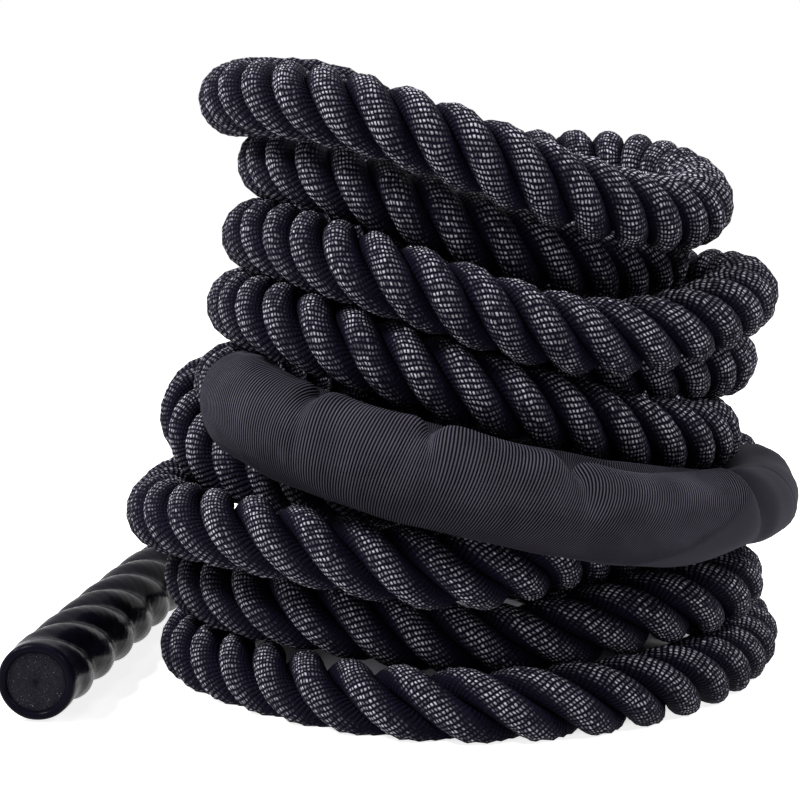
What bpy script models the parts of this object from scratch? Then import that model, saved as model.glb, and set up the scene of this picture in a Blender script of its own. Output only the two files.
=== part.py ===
"""Battle rope: 9.1 m of 38 mm three-strand rope, piled for the shop in one tall coil of ten turns.

The rope lies as one line. Its lower handle rests on the floor and points to the front, the rope runs round
the back of the pile, winds ten turns upwards and comes down over the back, where the upper handle leans. The
fifth turn carries a loose anchor sleeve, which slides round that turn. Metres, +Z up, the floor at zero.
"""
import bpy
import bmesh
import numpy as np
from math import cos, pi, radians, sin, tan
from mathutils import Matrix, Vector

# Driving dimensions of the rope
rope_diameter = 0.038
rope_sides_resolution = 2
strand_sides_resolution = 1
points_per_turn = 24
tail_step_share = 0.6

# Clearances between pieces that touch
seat_gap = 0.0003
least_clearance = 0.0004

# Handles: a shrunk tube that shows the rope's three strands, with its rim curled in over their cut ends
handle_length = 0.280
handle_wall = 0.0013
handle_lay = 0.138
handle_lobe_rise = 0.0009
handle_mouth_radius = 0.0143
handle_lip_radius = 0.0045
handle_sides = 24
handle_rings = 26
lip_rings = 5
strand_count = 3
strand_radius = 0.0082
strand_centre_radius = 0.0103
strand_points = 28
strand_end_space = 0.0020
strand_ease = 0.0007

# Anchor sleeve: a woven tube, wider than the rope, that hangs on the top of the turn it covers
sleeve_ease = 0.0038
sleeve_hang_space = 0.0006
sleeve_wall = 0.0012
sleeve_sides = 14
sleeve_rings = 40
sleeve_from_angle = 80.0
sleeve_to_angle = 250.0
sleeve_cut_slant = 4.0
sleeve_fold_angles = (220.0, 193.0, 166.0, 112.0)
sleeve_fold_depth = 0.0022
sleeve_fold_spread = 3.5
sleeve_fold_side = 50.0

# Overrun of every cutter past what it cuts, and how close two vertices are when they count as one
cut_overrun = 0.010
merge_distance = 0.00001

# The pile stands with the middle of its footprint on the origin, as shares of rope_diameter
pile_place_shares = (0.70, -1.54)

# The coil's stations, turn by turn from the floor up. Each is an azimuth in degrees, which starts at the back
# and runs clockwise as seen from above, then the reach from the coil's axis and the height of the rope's
# centre line, both as shares of rope_diameter. The lowest turn stands 0.40 high, so that the floor's cut takes
# a tenth of the diameter off it.
turn_shares = [
    [(45, 4.69, 0.40), (68, 4.39, 0.40), (90, 3.91, 0.40), (115, 3.65, 0.40), (140, 3.70, 0.40), (160, 3.84, 0.40),
     (180, 3.90, 0.40), (200, 3.77, 0.40), (225, 3.57, 0.40), (250, 3.70, 0.40), (270, 3.90, 0.40), (315, 3.95, 0.52)],
    [(0, 3.95, 0.86), (45, 3.89, 1.14), (90, 3.75, 1.42), (115, 3.60, 1.42), (135, 3.27, 1.36), (157, 3.13, 1.15),
     (180, 3.13, 1.11), (202, 3.21, 1.29), (225, 3.44, 1.42), (250, 3.66, 1.43), (270, 3.84, 1.46), (315, 3.53, 1.56)],
    [(0, 3.18, 1.59), (45, 2.89, 1.57), (90, 2.68, 1.62), (112, 2.58, 1.82), (135, 2.50, 2.08), (150, 2.67, 2.18),
     (165, 3.13, 2.16), (180, 3.53, 2.11), (202, 3.82, 2.30), (225, 4.08, 2.49), (250, 4.29, 2.47), (270, 4.33, 2.40),
     (285, 4.27, 2.50), (315, 3.84, 2.72)],
    [(0, 3.18, 2.65), (45, 3.00, 2.62), (90, 2.74, 2.65), (112, 2.55, 2.87), (135, 2.45, 3.13), (157, 2.63, 3.24),
     (180, 2.79, 3.16), (210, 2.71, 3.03), (235, 2.68, 2.92), (248, 2.87, 2.94), (262, 3.34, 3.07), (276, 3.82, 3.32),
     (290, 4.28, 3.73), (320, 4.21, 3.76)],
    [(0, 4.00, 3.37), (45, 4.38, 3.12), (62, 4.37, 2.86)],
    [(-92, 3.37, 4.23), (-75, 3.20, 4.26), (-60, 3.20, 4.22), (0, 3.26, 4.13), (45, 3.31, 3.70), (68, 3.33, 3.60),
     (90, 3.37, 3.51), (112, 3.42, 3.59), (135, 3.41, 3.76), (157, 3.34, 4.09), (180, 3.37, 4.50), (202, 3.34, 4.90),
     (225, 3.32, 5.21), (250, 3.18, 5.32), (270, 3.18, 5.30), (315, 3.63, 5.19)],
    [(0, 3.98, 4.89), (45, 3.86, 4.59), (90, 3.61, 4.51), (112, 3.18, 4.60), (135, 2.74, 4.62), (157, 2.55, 4.85),
     (180, 2.47, 5.14), (202, 2.37, 5.35), (225, 2.29, 5.51), (250, 2.13, 5.71), (270, 2.07, 5.72), (300, 2.26, 5.55),
     (325, 2.66, 5.41)],
    [(0, 3.05, 5.38), (45, 3.33, 5.46), (90, 3.85, 5.52), (112, 3.85, 5.41), (135, 3.71, 5.16), (157, 3.58, 5.17),
     (180, 3.46, 5.57), (202, 3.37, 5.98), (225, 3.09, 6.22), (250, 3.00, 6.32), (270, 2.93, 6.29), (315, 3.03, 6.36)],
    [(0, 2.92, 6.41), (45, 2.80, 6.37), (68, 2.68, 6.17), (90, 2.65, 5.94), (112, 2.60, 5.91), (135, 2.57, 5.96),
     (157, 2.68, 6.12), (180, 2.74, 6.48), (202, 2.75, 6.90), (225, 2.75, 7.20), (250, 2.74, 7.32), (270, 2.73, 7.30),
     (315, 3.21, 7.39)],
    [(0, 3.68, 7.23), (45, 3.53, 7.18), (68, 3.34, 6.98), (90, 3.23, 6.80), (112, 3.27, 6.68), (135, 3.29, 6.71),
     (157, 3.29, 7.02), (180, 3.29, 7.53), (202, 3.29, 7.96), (225, 3.27, 8.17), (250, 3.27, 8.20), (270, 3.26, 8.20),
     (292, 3.44, 8.29), (315, 3.88, 8.31)],
]

# The fifth turn runs on a true circle where the sleeve slides: its place and radius as shares of rope_diameter,
# the azimuths that it holds, and how far its plane leans down to the right and to the back, in degrees
sleeve_turn = 4
circle_place_shares = (0.43, -0.34, 3.35)
circle_radius_share = 3.76
circle_azimuths = range(78, 255, 8)
circle_lean = (12.0, -1.9)

# The tails' free points, chosen by eye, as shares of rope_diameter from the coil's axis
lower_tail_shares = [(-4.68, 6.39, 0.45), (-4.08, 7.05, 0.40), (-3.21, 7.34, 0.40), (-2.32, 7.21, 0.40),
                     (-1.32, 6.63, 0.40), (0.10, 5.85, 0.40), (1.30, 5.33, 0.40), (2.20, 4.92, 0.40)]
upper_tail_shares = [(-1.50, 4.55, 7.97)]

# The lower handle lies on the floor: where the rope enters it, and its heading right of straight back
lower_handle_shares = (-4.96, 4.13)
lower_handle_heading = 5.7

# The upper handle leans on the back of the pile: where its mouth stands, its slope and its heading
upper_handle_shares = (4.05, 5.07, 0.32)
upper_handle_slope = 55.2
upper_handle_heading = 2.0

# Looks
rope_black = (0.016, 0.016, 0.018)
strand_black = (0.022, 0.022, 0.024)
sleeve_black = (0.012, 0.012, 0.014)
shrink_black = (0.008, 0.008, 0.009)


def spline(knots, values):
    """The natural cubic through the values at the knots, as a function of the knots' scale."""
    knots = np.asarray(knots, float)
    values = np.asarray(values, float)
    count = len(knots)
    width = np.diff(knots)
    rows = np.eye(count)
    bend = np.zeros_like(values)
    for i in range(1, count - 1):
        rows[i, i - 1:i + 2] = width[i - 1], 2 * (width[i - 1] + width[i]), width[i]
        slope_after = (values[i + 1] - values[i]) / width[i]
        slope_before = (values[i] - values[i - 1]) / width[i - 1]
        bend[i] = 6 * (slope_after - slope_before)
    second = np.linalg.solve(rows, bend)

    def curve(at):
        k = np.clip(np.searchsorted(knots, at) - 1, 0, count - 2)
        wide = width[k][:, None]
        late = ((at - knots[k]) / width[k])[:, None]
        early = 1 - late
        straight = early * values[k] + late * values[k + 1]
        return straight + wide ** 2 / 6 * ((early ** 3 - early) * second[k] + (late ** 3 - late) * second[k + 1])

    return curve


def unit(way):
    """The way scaled to a length of one."""
    way = np.asarray(way, float)
    return way / np.linalg.norm(way)


def circle_frame():
    """The sleeve turn's axis, then the ways in its plane that point right and back."""
    lean_right, lean_back = (tan(radians(angle)) for angle in circle_lean)
    axis = unit([lean_right, lean_back, 1])
    right = unit(np.cross([0, 1, 0], axis))
    return axis, right, np.cross(axis, right)


def circle_centre():
    """The sleeve's own circle, which lies lower than the rope's because the sleeve hangs on the rope."""
    return np.array(circle_place_shares) * rope_diameter


def circle_stations():
    """Stations of the rope's circle inside the sleeve, in the same shares as the other turns."""
    axis, right, back = circle_frame()
    centre = circle_centre() + (sleeve_ease - sleeve_hang_space) * axis
    angles = np.radians(np.arange(0, 360, 0.5))[:, None]
    radius = circle_radius_share * rope_diameter
    ring = centre + radius * (np.sin(angles) * right + np.cos(angles) * back)
    azimuth = np.degrees(np.arctan2(ring[:, 0], ring[:, 1])) % 360
    order = np.argsort(azimuth)
    reach = np.hypot(ring[:, 0], ring[:, 1])[order]
    height = ring[:, 2][order]
    stations = []
    for wanted in circle_azimuths:
        at_reach = np.interp(wanted, azimuth[order], reach)
        at_height = np.interp(wanted, azimuth[order], height)
        stations.append((wanted, at_reach / rope_diameter, at_height / rope_diameter))
    return stations


def coil_points():
    """The coil's centre line: 24 points a turn, read from the cubic through all the stations."""
    rows = []
    for turn, stations in enumerate(turn_shares):
        extra = circle_stations() if turn == sleeve_turn else []
        rows += [(360 * turn + azimuth, reach, height) for azimuth, reach, height in stations + extra]
    rows = np.array(rows)
    curve = spline(rows[:, 0], rows[:, 1:] * rope_diameter)
    steps = round((rows[-1, 0] - rows[0, 0]) / 360 * points_per_turn)
    around = np.linspace(rows[0, 0], rows[-1, 0], steps + 1)
    reach, height = curve(around).T
    angle = np.radians(around)
    return np.stack([reach * np.sin(angle), reach * np.cos(angle), height], axis=1)


def tail_points(start, start_way, end, end_way, between):
    """A tail's centre line, which leaves and arrives straight for one rope diameter."""
    knots = [start, start + rope_diameter * start_way]
    knots += [np.array(share) * rope_diameter for share in between]
    knots += [end - rope_diameter * end_way, end]
    along = np.concatenate([[0], np.cumsum(np.linalg.norm(np.diff(knots, axis=0), axis=1))])
    curve = spline(along, knots)
    steps = round((along[-2] - along[1]) / (tail_step_share * rope_diameter))
    middle = curve(np.linspace(along[1], along[-2], steps + 1))
    return np.vstack([knots[:1], middle, knots[-1:]])


def least_gap(points):
    """The least gap between two stretches of the rope that lie more than a quarter turn apart."""
    fine = []
    steps = np.linspace(0, 1, 12, endpoint=False)[:, None]
    for before, after in zip(points, points[1:]):
        fine.append(before + steps * (after - before))
    fine = np.concatenate(fine)
    apart = points_per_turn // 4 * len(steps)
    least = np.inf
    for i in range(len(fine) - apart):
        least = min(least, np.linalg.norm(fine[i + apart:] - fine[i], axis=1).min())
    return least - rope_diameter


def handle_radii():
    """The lobes' and the grooves' outer radius, round strands that lie against the inside."""
    inner_lobe = strand_centre_radius + strand_radius + strand_ease
    lobe = inner_lobe + handle_wall
    return lobe, lobe - 2 * handle_lobe_rise


def lower_handle_frame():
    """Where the rope enters the lower handle, and the way from there to its mouth."""
    heading = radians(lower_handle_heading)
    lobe, _ = handle_radii()
    top = np.array([*(np.array(lower_handle_shares) * rope_diameter), lobe])
    return top, -np.array([sin(heading), cos(heading), 0])


def upper_handle_frame():
    """Where the rope enters the upper handle, and the way from there down to its mouth."""
    slope = radians(upper_handle_slope)
    heading = radians(upper_handle_heading)
    down = np.array([cos(slope) * cos(heading), cos(slope) * sin(heading), -sin(slope)])
    mouth = np.array(upper_handle_shares) * rope_diameter
    return mouth - handle_length * down, down


def clear_scene():
    for thing in list(bpy.data.objects):
        bpy.data.objects.remove(thing, do_unlink=True)
    for group in list(bpy.data.collections):
        bpy.data.collections.remove(group)


def collection(name):
    group = bpy.data.collections.new(name)
    bpy.context.scene.collection.children.link(group)
    return group


def material(name, colour, roughness, metallic=0.0):
    made = bpy.data.materials.new(name)
    made.use_nodes = True
    shader = made.node_tree.nodes["Principled BSDF"]
    shader.inputs["Base Color"].default_value = (*colour, 1)
    shader.inputs["Roughness"].default_value = roughness
    shader.inputs["Metallic"].default_value = metallic
    made.diffuse_color = (*colour, 1)
    return made


def empty(name, parent, matrix):
    """An empty that carries pieces, placed in its parent's space."""
    holder = bpy.data.objects.new(name, None)
    parts.objects.link(holder)
    holder.parent = parent
    holder.matrix_local = matrix
    return holder


def piece(name, data, parent, look):
    made = bpy.data.objects.new(name, data)
    data.materials.append(look)
    parts.objects.link(made)
    made.parent = parent
    return made


def way_matrix(place, way):
    """A frame at the place whose Z runs along the way."""
    turn = Vector(way).to_track_quat("Z", "Y").to_matrix().to_4x4()
    return Matrix.Translation(Vector(place)) @ turn


def tube_curve(name, points, radius, resolution):
    """A round bar along the points, as a curve with filled caps."""
    curve = bpy.data.curves.new(name, "CURVE")
    curve.dimensions = "3D"
    curve.twist_mode = "Z_UP"
    curve.bevel_depth = radius
    curve.bevel_resolution = resolution
    curve.use_fill_caps = True
    line = curve.splines.new("POLY")
    line.points.add(len(points) - 1)
    for point, place in zip(line.points, points):
        point.co = (*place, 1)
    return curve


def tube_mesh(name, points, radius, resolution):
    """The same bar as a closed mesh, for a piece that is cut."""
    curve = tube_curve(name + "_line", points, radius, resolution)
    holder = bpy.data.objects.new(name + "_line", curve)
    parts.objects.link(holder)
    bpy.context.view_layer.update()
    mesh = bpy.data.meshes.new_from_object(holder.evaluated_get(bpy.context.evaluated_depsgraph_get()))
    mesh.name = name
    work = bmesh.new()
    work.from_mesh(mesh)
    bmesh.ops.remove_doubles(work, verts=work.verts, dist=merge_distance)
    work.to_mesh(mesh)
    work.free()
    mesh.materials.clear()
    bpy.data.objects.remove(holder, do_unlink=True)
    return mesh


def smooth(mesh, angle=50.0):
    mesh.shade_smooth()
    mesh.set_sharp_from_angle(angle=radians(angle))


def cutter(name, mesh, parent, matrix):
    tool = bpy.data.objects.new(name, mesh)
    cutters.objects.link(tool)
    tool.parent = parent
    tool.matrix_local = matrix
    tool.hide_render = True
    tool.display_type = "WIRE"
    return tool


def boolean(target, tool, operation):
    cut = target.modifiers.new(tool.name, "BOOLEAN")
    cut.operation = operation
    cut.solver = "EXACT"
    cut.object = tool


def floor_cutter(parent, points):
    """A block whose top is the floor, under everything that lies on it."""
    low = points.min(axis=0) - rope_diameter
    high = points.max(axis=0) + rope_diameter
    size = (high[0] - low[0], high[1] - low[1], rope_diameter)
    work = bmesh.new()
    bmesh.ops.create_cube(work, size=1, matrix=Matrix.Diagonal((*size, 1)))
    mesh = bpy.data.meshes.new("floor_cutter")
    work.to_mesh(mesh)
    work.free()
    place = ((low[0] + high[0]) / 2, (low[1] + high[1]) / 2, -rope_diameter / 2)
    return cutter("floor_cutter", mesh, parent, Matrix.Translation(place))


def laid_rope(name, points, parent, floor, resolution, look):
    """A stretch of rope that rests on the floor, where it is cut flat."""
    mesh = tube_mesh(name, points, rope_diameter / 2, resolution)
    made = piece(name, mesh, parent, look)
    boolean(made, floor, "DIFFERENCE")
    smooth(mesh)
    return made


def loft(name, rings):
    """An open surface over rings of equal count, each ring closed on itself."""
    work = bmesh.new()
    rows = [[work.verts.new(place) for place in ring] for ring in rings]
    count = len(rows[0])
    for lower, upper in zip(rows, rows[1:]):
        for i in range(count):
            j = (i + 1) % count
            work.faces.new((lower[i], lower[j], upper[j], upper[i]))
    mesh = bpy.data.meshes.new(name)
    work.to_mesh(mesh)
    work.free()
    return mesh


def solidify(target, wall):
    shell = target.modifiers.new("wall", "SOLIDIFY")
    shell.thickness = wall
    shell.offset = -1
    shell.use_even_offset = True


def lobed_ring(height, lobe, groove):
    """A ring whose lobes stand over the strands, which have turned with the lay at that height."""
    middle = (lobe + groove) / 2
    rise = (lobe - groove) / 2
    turned = 2 * pi * height / handle_lay
    ring = []
    for i in range(handle_sides):
        angle = 2 * pi * i / handle_sides
        radius = middle + rise * cos(strand_count * (angle - turned))
        ring.append((radius * cos(angle), radius * sin(angle), height))
    return ring


def handle_shell(name, parent, look):
    """The shrunk tube. Its lobes follow the strands, and the rim curls in over them on a quarter round."""
    lobe, groove = handle_radii()
    straight_end = handle_length - handle_lip_radius
    rings = []
    for k in range(handle_rings + 1):
        rings.append(lobed_ring(seat_gap + (straight_end - seat_gap) * k / handle_rings, lobe, groove))
    round_radius = handle_mouth_radius + handle_lip_radius
    for k in range(1, lip_rings + 1):
        angle = pi / 2 * k / lip_rings
        height = straight_end + handle_lip_radius * sin(angle)
        drawn = handle_mouth_radius + handle_lip_radius * cos(angle)
        rings.append(lobed_ring(height, drawn + (lobe - round_radius) * cos(angle),
                                drawn + (groove - round_radius) * cos(angle)))
    shell = piece(name, loft(name, rings), parent, look)
    solidify(shell, handle_wall)
    smooth(shell.data)
    return shell


def strand_path(number):
    """A strand's helix, run past both ends so that the cut across it is square."""
    phase = 2 * pi * number / strand_count
    low = seat_gap
    high = strand_top()
    path = []
    for k in range(strand_points + 1):
        height = low - cut_overrun + (high - low + 2 * cut_overrun) * k / strand_points
        angle = phase + 2 * pi * height / handle_lay
        path.append((strand_centre_radius * cos(angle), strand_centre_radius * sin(angle), height))
    return path


def strand_top():
    """Where the strands are cut, behind the rim's inner side."""
    return handle_length - handle_lip_radius - handle_wall - strand_end_space


def strand_stock(name, parent):
    """The bar between whose flat ends the strands are kept."""
    low = seat_gap
    high = strand_top()
    work = bmesh.new()
    bmesh.ops.create_cone(work, cap_ends=True, segments=handle_sides, radius1=rope_diameter, radius2=rope_diameter,
                          depth=high - low)
    mesh = bpy.data.meshes.new(name)
    work.to_mesh(mesh)
    work.free()
    return cutter(name, mesh, parent, Matrix.Translation((0, 0, (low + high) / 2)))


def make_handle(side, frame, parent, shrink, fibre):
    """A handle with its three strands, on an empty where the rope enters it."""
    place, way = frame
    holder = empty("handle_place_" + side, parent, way_matrix(place, way))
    handle_shell("handle_" + side, holder, shrink)
    stock = strand_stock("strand_stock_" + side, holder)
    for number in range(strand_count):
        name = f"strand_{side}_{number + 1}"
        mesh = tube_mesh(name, strand_path(number), strand_radius, strand_sides_resolution)
        strand = piece(name, mesh, holder, fibre)
        boolean(strand, stock, "INTERSECT")
        smooth(mesh)
    return holder


def sleeve_ring(share):
    """One ring of the sleeve, at its share of the way along. Side 0 looks up, a quarter turn on looks outwards."""
    outer = rope_diameter / 2 + sleeve_ease + sleeve_wall
    radius = circle_radius_share * rope_diameter
    ring = []
    for i in range(sleeve_sides):
        side = 2 * pi * i / sleeve_sides
        last = sleeve_to_angle + sleeve_cut_slant * cos(side)
        angle = sleeve_from_angle + share * (last - sleeve_from_angle)
        here = outer
        facing = cos((side - radians(sleeve_fold_side)) / 2) ** 8
        for fold in sleeve_fold_angles:
            near = np.exp(-((angle - fold) / sleeve_fold_spread) ** 2)
            here -= sleeve_fold_depth * near * facing
        turned = radians(angle)
        from_axis = radius + here * sin(side)
        ring.append((from_axis * sin(turned), from_axis * cos(turned), here * cos(side)))
    return ring


def make_sleeve(parent, look):
    """The sleeve on an empty whose Z is the axis that it slides about."""
    axis, right, back = circle_frame()
    frame = Matrix((right, back, axis)).transposed().to_4x4()
    holder = empty("sleeve_axis", parent, Matrix.Translation(Vector(circle_centre())) @ frame)
    rings = [sleeve_ring(k / sleeve_rings) for k in range(sleeve_rings + 1)]
    sleeve = piece("anchor_sleeve", loft("anchor_sleeve", rings), holder, look)
    solidify(sleeve, sleeve_wall)
    smooth(sleeve.data)
    return sleeve


clear_scene()
parts = collection("battle_rope")
cutters = collection("cutters")
rope_look = material("rope", rope_black, 0.85)
sleeve_look = material("sleeve", sleeve_black, 0.70)
shrink_look = material("shrink_tube", shrink_black, 0.30)
fibre_look = material("strand", strand_black, 0.95)

place = [share * rope_diameter for share in pile_place_shares]
pile = empty("pile", None, Matrix.Translation((*place, 0)))

line = coil_points()
into_coil = unit(line[1] - line[0])
out_of_coil = unit(line[-1] - line[-2])
lower_frame = lower_handle_frame()
upper_frame = upper_handle_frame()
lower_line = tail_points(lower_frame[0], -lower_frame[1], line[0] - seat_gap * into_coil, into_coil,
                         lower_tail_shares)
upper_line = tail_points(line[-1] + seat_gap * out_of_coil, out_of_coil, upper_frame[0], upper_frame[1],
                         upper_tail_shares)

floor = floor_cutter(pile, np.vstack([line, lower_line]))
laid_rope("rope_coil", line, pile, floor, rope_sides_resolution, rope_look)
laid_rope("rope_tail_lower", lower_line, pile, floor, rope_sides_resolution, rope_look)
upper_tail = tube_curve("rope_tail_upper", upper_line, rope_diameter / 2, rope_sides_resolution)
piece("rope_tail_upper", upper_tail, pile, rope_look)
make_handle("lower", lower_frame, pile, shrink_look, fibre_look)
make_handle("upper", upper_frame, pile, shrink_look, fibre_look)
make_sleeve(pile, sleeve_look)

rope_length = sum(np.linalg.norm(np.diff(path, axis=0), axis=1).sum() for path in (line, lower_line, upper_line))
rope_length += 2 * strand_top()
gap = least_gap(line)
print(f"rope length {rope_length:.3f} m, least gap of the coil to itself {gap * 1000:.2f} mm,"
      f" wanted over {least_clearance * 1000:.1f} mm")
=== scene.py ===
import bpy
import numpy as np
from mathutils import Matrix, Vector


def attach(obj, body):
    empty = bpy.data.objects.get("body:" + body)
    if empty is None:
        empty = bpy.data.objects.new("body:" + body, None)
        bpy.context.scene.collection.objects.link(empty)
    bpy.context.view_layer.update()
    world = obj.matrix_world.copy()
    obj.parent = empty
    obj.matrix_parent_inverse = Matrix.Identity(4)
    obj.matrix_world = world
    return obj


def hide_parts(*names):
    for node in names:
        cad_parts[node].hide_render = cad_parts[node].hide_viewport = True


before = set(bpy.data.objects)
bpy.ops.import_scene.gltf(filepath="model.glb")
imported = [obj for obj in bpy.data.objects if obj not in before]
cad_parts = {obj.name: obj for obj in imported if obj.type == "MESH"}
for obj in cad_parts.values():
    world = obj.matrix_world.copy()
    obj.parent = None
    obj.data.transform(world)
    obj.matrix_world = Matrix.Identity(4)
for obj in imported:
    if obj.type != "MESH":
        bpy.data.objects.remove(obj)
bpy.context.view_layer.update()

# Sizes that the rope shares with its CAD model, in metres
rope_diameter = 0.038
pile_place = np.array([0.70 * rope_diameter, -1.54 * rope_diameter, 0.0])
handle_length = 0.280
handle_lobe = 0.0205
handle_lay = 0.138
sleeve_ease = 0.0038
sleeve_hang_space = 0.0006
sleeve_wall = 0.0012

# The coil's stations, turn by turn from the floor up: azimuth in degrees from the back, clockwise from
# above, then reach from the coil's axis and height of the rope's middle, both in rope diameters
turn_stations = [
    [(45, 4.69, 0.40), (68, 4.39, 0.40), (90, 3.91, 0.40), (115, 3.65, 0.40), (140, 3.70, 0.40),
     (160, 3.84, 0.40), (180, 3.90, 0.40), (200, 3.77, 0.40), (225, 3.57, 0.40), (250, 3.70, 0.40),
     (270, 3.90, 0.40), (315, 3.95, 0.52)],
    [(0, 3.95, 0.86), (45, 3.89, 1.14), (90, 3.75, 1.42), (115, 3.60, 1.42), (135, 3.27, 1.36),
     (157, 3.13, 1.15), (180, 3.13, 1.11), (202, 3.21, 1.29), (225, 3.44, 1.42), (250, 3.66, 1.43),
     (270, 3.84, 1.46), (315, 3.53, 1.56)],
    [(0, 3.18, 1.59), (45, 2.89, 1.57), (90, 2.68, 1.62), (112, 2.58, 1.82), (135, 2.50, 2.08),
     (150, 2.67, 2.18), (165, 3.13, 2.16), (180, 3.53, 2.11), (202, 3.82, 2.30), (225, 4.08, 2.49),
     (250, 4.29, 2.47), (270, 4.33, 2.40), (285, 4.27, 2.50), (315, 3.84, 2.72)],
    [(0, 3.18, 2.65), (45, 3.00, 2.62), (90, 2.74, 2.65), (112, 2.55, 2.87), (135, 2.45, 3.13),
     (157, 2.63, 3.24), (180, 2.79, 3.16), (210, 2.71, 3.03), (235, 2.68, 2.92), (248, 2.87, 2.94),
     (262, 3.34, 3.07), (276, 3.82, 3.32), (290, 4.28, 3.73), (320, 4.21, 3.76)],
    [(0, 4.00, 3.37), (45, 4.38, 3.12), (62, 4.37, 2.86)],
    [(-92, 3.37, 4.23), (-75, 3.20, 4.26), (-60, 3.20, 4.22), (0, 3.26, 4.13), (45, 3.31, 3.70),
     (68, 3.33, 3.60), (90, 3.37, 3.51), (112, 3.42, 3.59), (135, 3.41, 3.76), (157, 3.34, 4.09),
     (180, 3.37, 4.50), (202, 3.34, 4.90), (225, 3.32, 5.21), (250, 3.18, 5.32), (270, 3.18, 5.30),
     (315, 3.63, 5.19)],
    [(0, 3.98, 4.89), (45, 3.86, 4.59), (90, 3.61, 4.51), (112, 3.18, 4.60), (135, 2.74, 4.62),
     (157, 2.55, 4.85), (180, 2.47, 5.14), (202, 2.37, 5.35), (225, 2.29, 5.51), (250, 2.13, 5.71),
     (270, 2.07, 5.72), (300, 2.26, 5.55), (325, 2.66, 5.41)],
    [(0, 3.05, 5.38), (45, 3.33, 5.46), (90, 3.85, 5.52), (112, 3.85, 5.41), (135, 3.71, 5.16),
     (157, 3.58, 5.17), (180, 3.46, 5.57), (202, 3.37, 5.98), (225, 3.09, 6.22), (250, 3.00, 6.32),
     (270, 2.93, 6.29), (315, 3.03, 6.36)],
    [(0, 2.92, 6.41), (45, 2.80, 6.37), (68, 2.68, 6.17), (90, 2.65, 5.94), (112, 2.60, 5.91),
     (135, 2.57, 5.96), (157, 2.68, 6.12), (180, 2.74, 6.48), (202, 2.75, 6.90), (225, 2.75, 7.20),
     (250, 2.74, 7.32), (270, 2.73, 7.30), (315, 3.21, 7.39)],
    [(0, 3.68, 7.23), (45, 3.53, 7.18), (68, 3.34, 6.98), (90, 3.23, 6.80), (112, 3.27, 6.68),
     (135, 3.29, 6.71), (157, 3.29, 7.02), (180, 3.29, 7.53), (202, 3.29, 7.96), (225, 3.27, 8.17),
     (250, 3.27, 8.20), (270, 3.26, 8.20), (292, 3.44, 8.29), (315, 3.88, 8.31)],
]

# The turn with the sleeve follows a true circle: its middle, its radius, the azimuths that it is read at,
# and the lean of its axis to the right and to the back
sleeve_turn = 4
circle_place = np.array([0.43, -0.34, 3.35]) * rope_diameter
circle_radius = 3.76 * rope_diameter
circle_azimuths = range(78, 255, 8)
circle_lean = np.radians([12.0, -1.9])

# The tails' free points, in rope diameters from the coil's axis, and the handles' places
lower_tail = [(-4.68, 6.39, 0.45), (-4.08, 7.05, 0.40), (-3.21, 7.34, 0.40), (-2.32, 7.21, 0.40),
              (-1.32, 6.63, 0.40), (0.10, 5.85, 0.40), (1.30, 5.33, 0.40), (2.20, 4.92, 0.40)]
upper_tail = [(-1.50, 4.55, 7.97)]
lower_handle = np.array([-4.96, 4.13]) * rope_diameter
lower_heading = np.radians(5.7)
upper_mouth = np.array([4.05, 5.07, 0.32]) * rope_diameter
upper_slope = np.radians(55.2)
upper_heading = np.radians(2.0)

# Camera, matched to the photograph: place, turn to the left, tilt down and focal length in pixels of 800
camera_place = (0.0205, -1.4032, 0.3061)
camera_left = np.radians(1.27)
camera_down = np.radians(6.64)
camera_focal_pixels = 2497.8
frame_pixels = 800

# The rope's route: its steps in degrees of azimuth and in metres, how many steps show the way of the
# coil's end, and the spread of the smoothing
azimuth_step = 0.25
route_step = 0.001
end_chord = 60
route_smoothing = 0.009

# The rope's strands, their lay at shares of the rope's length from its lower end, the stretch over which
# the lay changes at a handle, and the height and softness of the floor's press
strand_count = 3
strand_radius = 0.0087
strand_reach = 0.0113
strand_sides = 16
ring_step = 0.0050
rope_lay = [(0.0, 0.094), (0.30, 0.083), (0.60, 0.074), (1.0, 0.070)]
lay_change = 0.04
press_below = 0.01
press_softness = 0.0008

# The yarns round each strand and the beads along each yarn. Each row starts a share of a bead further on.
yarn_pitch = 0.0021
bead_pitch = 0.0021
bead_stagger = 0.37
yarn_slant = np.radians(-19)

# Where the sleeve squeezes the rope, in degrees round its circle, and the share of its thickness that is
# left there, which is less in the tight right end
covered_from, covered_to, covered_ease = 81.0, 238.0, 6.0
covered_share = 0.72
tight_until, tight_ease = 136.0, 4.0
tight_share = 0.54

# The handles' shrunk film, and the rim that curls in at its mouth
film_wall = 0.0012
film_lobe = 0.0213
film_groove = 0.0174
film_round = 0.0200
film_fade = 0.026
film_ripple, ripple_at_rim = 0.00018, 0.3
film_step = 0.0025
film_sides = 72
lobe_power = 1.15
rim_mouth = 0.0148
rim_plain = 0.006
rim_curl = 0.0040
rim_turn = np.pi * 1.05
rim_steps = 14
strand_end = 0.0090

# The cut fibres behind each rim
face_rings, face_sides = 26, 90
face_middle = 0.02
face_overlap = 0.0016
face_depth = 0.0016
face_round = 0.0014
face_swell = 0.0008
face_rough = 0.00016
face_seed = 7

# The sleeve's cloth. Its angles are in degrees round the circle and grow from its right end to the left.
# A side of its section is in degrees too: 0 is its top and 90 its outer side.
sleeve_radius = rope_diameter / 2 + sleeve_ease + sleeve_wall
sleeve_from, sleeve_to = 79.0, 250.0
sleeve_sides = 40
rib_count = 330
rib_rings = 3
rib_height = 0.00036
# The ribs' crowding to the right and lean from top to underside, the slant of the right end's cut and its
# power, and the left end's two slants
rib_crowding = 0.16
rib_lean = 1.6
right_slant, right_power = 15.0, 1.3
left_slant, left_twist = 4.0, 2.0
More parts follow.
